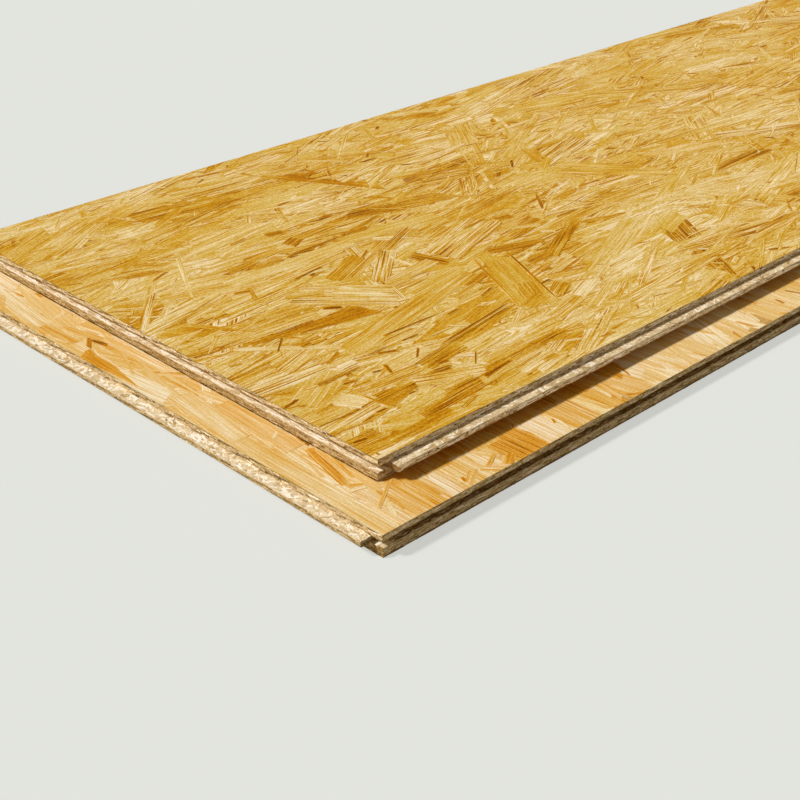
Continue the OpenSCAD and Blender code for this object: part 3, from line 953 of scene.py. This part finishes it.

# %% [markdown]
# Upright faces show the strands' cut sides as thin layers, tongues and grooves show freshly opened
# pale wood where they lie flat, and little light reaches the bottom of a groove. So each kind of face
# has its own sizes of cut strands and its own mean tone. Some of these tones paint light: the bottoms
# of the grooves and the lower panel's groove wall are darker, painted shade, and so is the lowest strip
# of a grooved edge, where it meets what it lies on; the upper panel's tongue tip and shoulder, which
# lie in shade, are paler, painted light. The cut strands are scattered as the face strands are, over
# plain strips that close the gaps between them.

# %% Cut strands on the milled faces
UPRIGHT_CUT = {"run": (3, 16), "width": (0.8, 1.9), "lean": 5}
LYING_CUT = {"run": (3, 14), "width": (1.4, 4.6), "lean": 50}
GROOVE_CUT = {"run": (6, 24), "width": (1.0, 3.0), "lean": 9}
CUTS = {kind: UPRIGHT_CUT for kind in ("shoulder", "heel", "tip", "brow", "foot", "joint", "bottom")}
CUTS |= {"top": LYING_CUT, "wall": GROOVE_CUT, "open_wall": GROOVE_CUT}
# Painted light in these tones: the upper tip and shoulder are paler on faces in shade, and the groove
# bottoms, the lowest strips and the lower groove wall, but not its open end, are darker: painted shade.
UPPER_CUT_TONES_AND_PAINTED_LIGHT = {"shoulder": 0.82, "heel": 0.62, "tip": 0.94, "top": 0.86, "brow": 0.75, "foot": 0.61,
                   "joint": 0.1, "bottom": 0.55, "wall": 1.0, "open_wall": 1.0}
LOWER_CUT_TONES_AND_PAINTED_SHADE = {"shoulder": 0.7, "heel": 0.5, "tip": 0.6, "top": 0.99, "brow": 0.66, "foot": 0.67,
                   "joint": 0.4, "bottom": 0.32, "wall": 0.46, "open_wall": 0.95}
CUT_SPREAD = 0.15
DARKEST_CUT = 0.06
CUT_COVER = 1.3
CUT_TORN = 0.5 * MM
CUT_TILT = 0.03 * MM
PROUD = (0.05, 0.25)
BACKING_RUN = 120 * MM
BACKING_LEVEL = 0.02 * MM
CUT_GRID = {"rows": np.array([0, 1]), "columns": NARROW_COLUMNS}


def cut_strands(name, milled, tones, rng, material):
    """Covers all milled faces of a panel with plain strips of about BACKING_RUN, and scatters strands
    over them, so many that they cover each face CUT_COVER times. Both have the mean tone of the
    face's kind of cut, and the strands vary around it by a share of it."""
    kinds, faces = zip(*edge_faces(milled))
    mean_tone = np.array([tones[kind] for kind in kinds])
    size = np.array([f["size"] for f in faces])

    strips = np.ceil(size[:, 0] / BACKING_RUN).astype(int)
    behind = np.repeat(np.arange(len(faces)), strips)
    number = np.arange(len(behind)) - np.repeat(np.cumsum(strips) - strips, strips)
    run, width = (size[:, 0] / strips)[behind], size[behind, 1]
    flat = np.zeros(len(behind))
    backing = strand_grids(
        np.stack([(number + 0.5) * run, width / 2], 1), flat, run, width, flat + BACKING_LEVEL, rng,
        shape=np.zeros((len(behind), 3)), waver=0, torn=0, pinched=0, tilt=0, **CUT_GRID)

    limits = {key: np.array([CUTS[kind][key] for kind in kinds]) for key in ("run", "width", "lean")}
    strand_area = limits["run"].mean(axis=1) * limits["width"].mean(axis=1) * MM ** 2
    counts = (CUT_COVER * size.prod(axis=1) / strand_area).astype(int)
    which = np.repeat(np.arange(len(faces)), counts)
    place = np.concatenate([scatter(count, f["size"], rng) for count, f in zip(counts, faces)])
    run, width = (rng.uniform(*limits[key][which].T) * MM for key in ("run", "width"))
    angle = rng.normal(0, 1, len(which)) * np.radians(limits["lean"][which])
    level = rng.uniform(*PROUD, len(which)) * MM
    strands = strand_grids(place, angle, run, width, level, rng, torn=CUT_TORN, tilt=CUT_TILT, **CUT_GRID)

    spread = np.r_[flat + 1, rng.normal(1, CUT_SPREAD, len(which))]
    which = np.r_[behind, which]
    tone = np.maximum(mean_tone[which] * spread, DARKEST_CUT)
    none = np.zeros(len(which))
    looks = (tone, none + PLAIN_FIGURE, none, none)
    grids = [np.concatenate(pair) for pair in zip(backing, strands)]
    strand_piece(name, faces, which, grids, np.r_[flat, angle], looks, rng, material)


cut_strands("upper_cut_edges", UPPER, UPPER_CUT_TONES_AND_PAINTED_LIGHT, rng, CUT_HONEY)
cut_strands("lower_cut_edges", LOWER, LOWER_CUT_TONES_AND_PAINTED_SHADE, rng, CUT_STRAW)
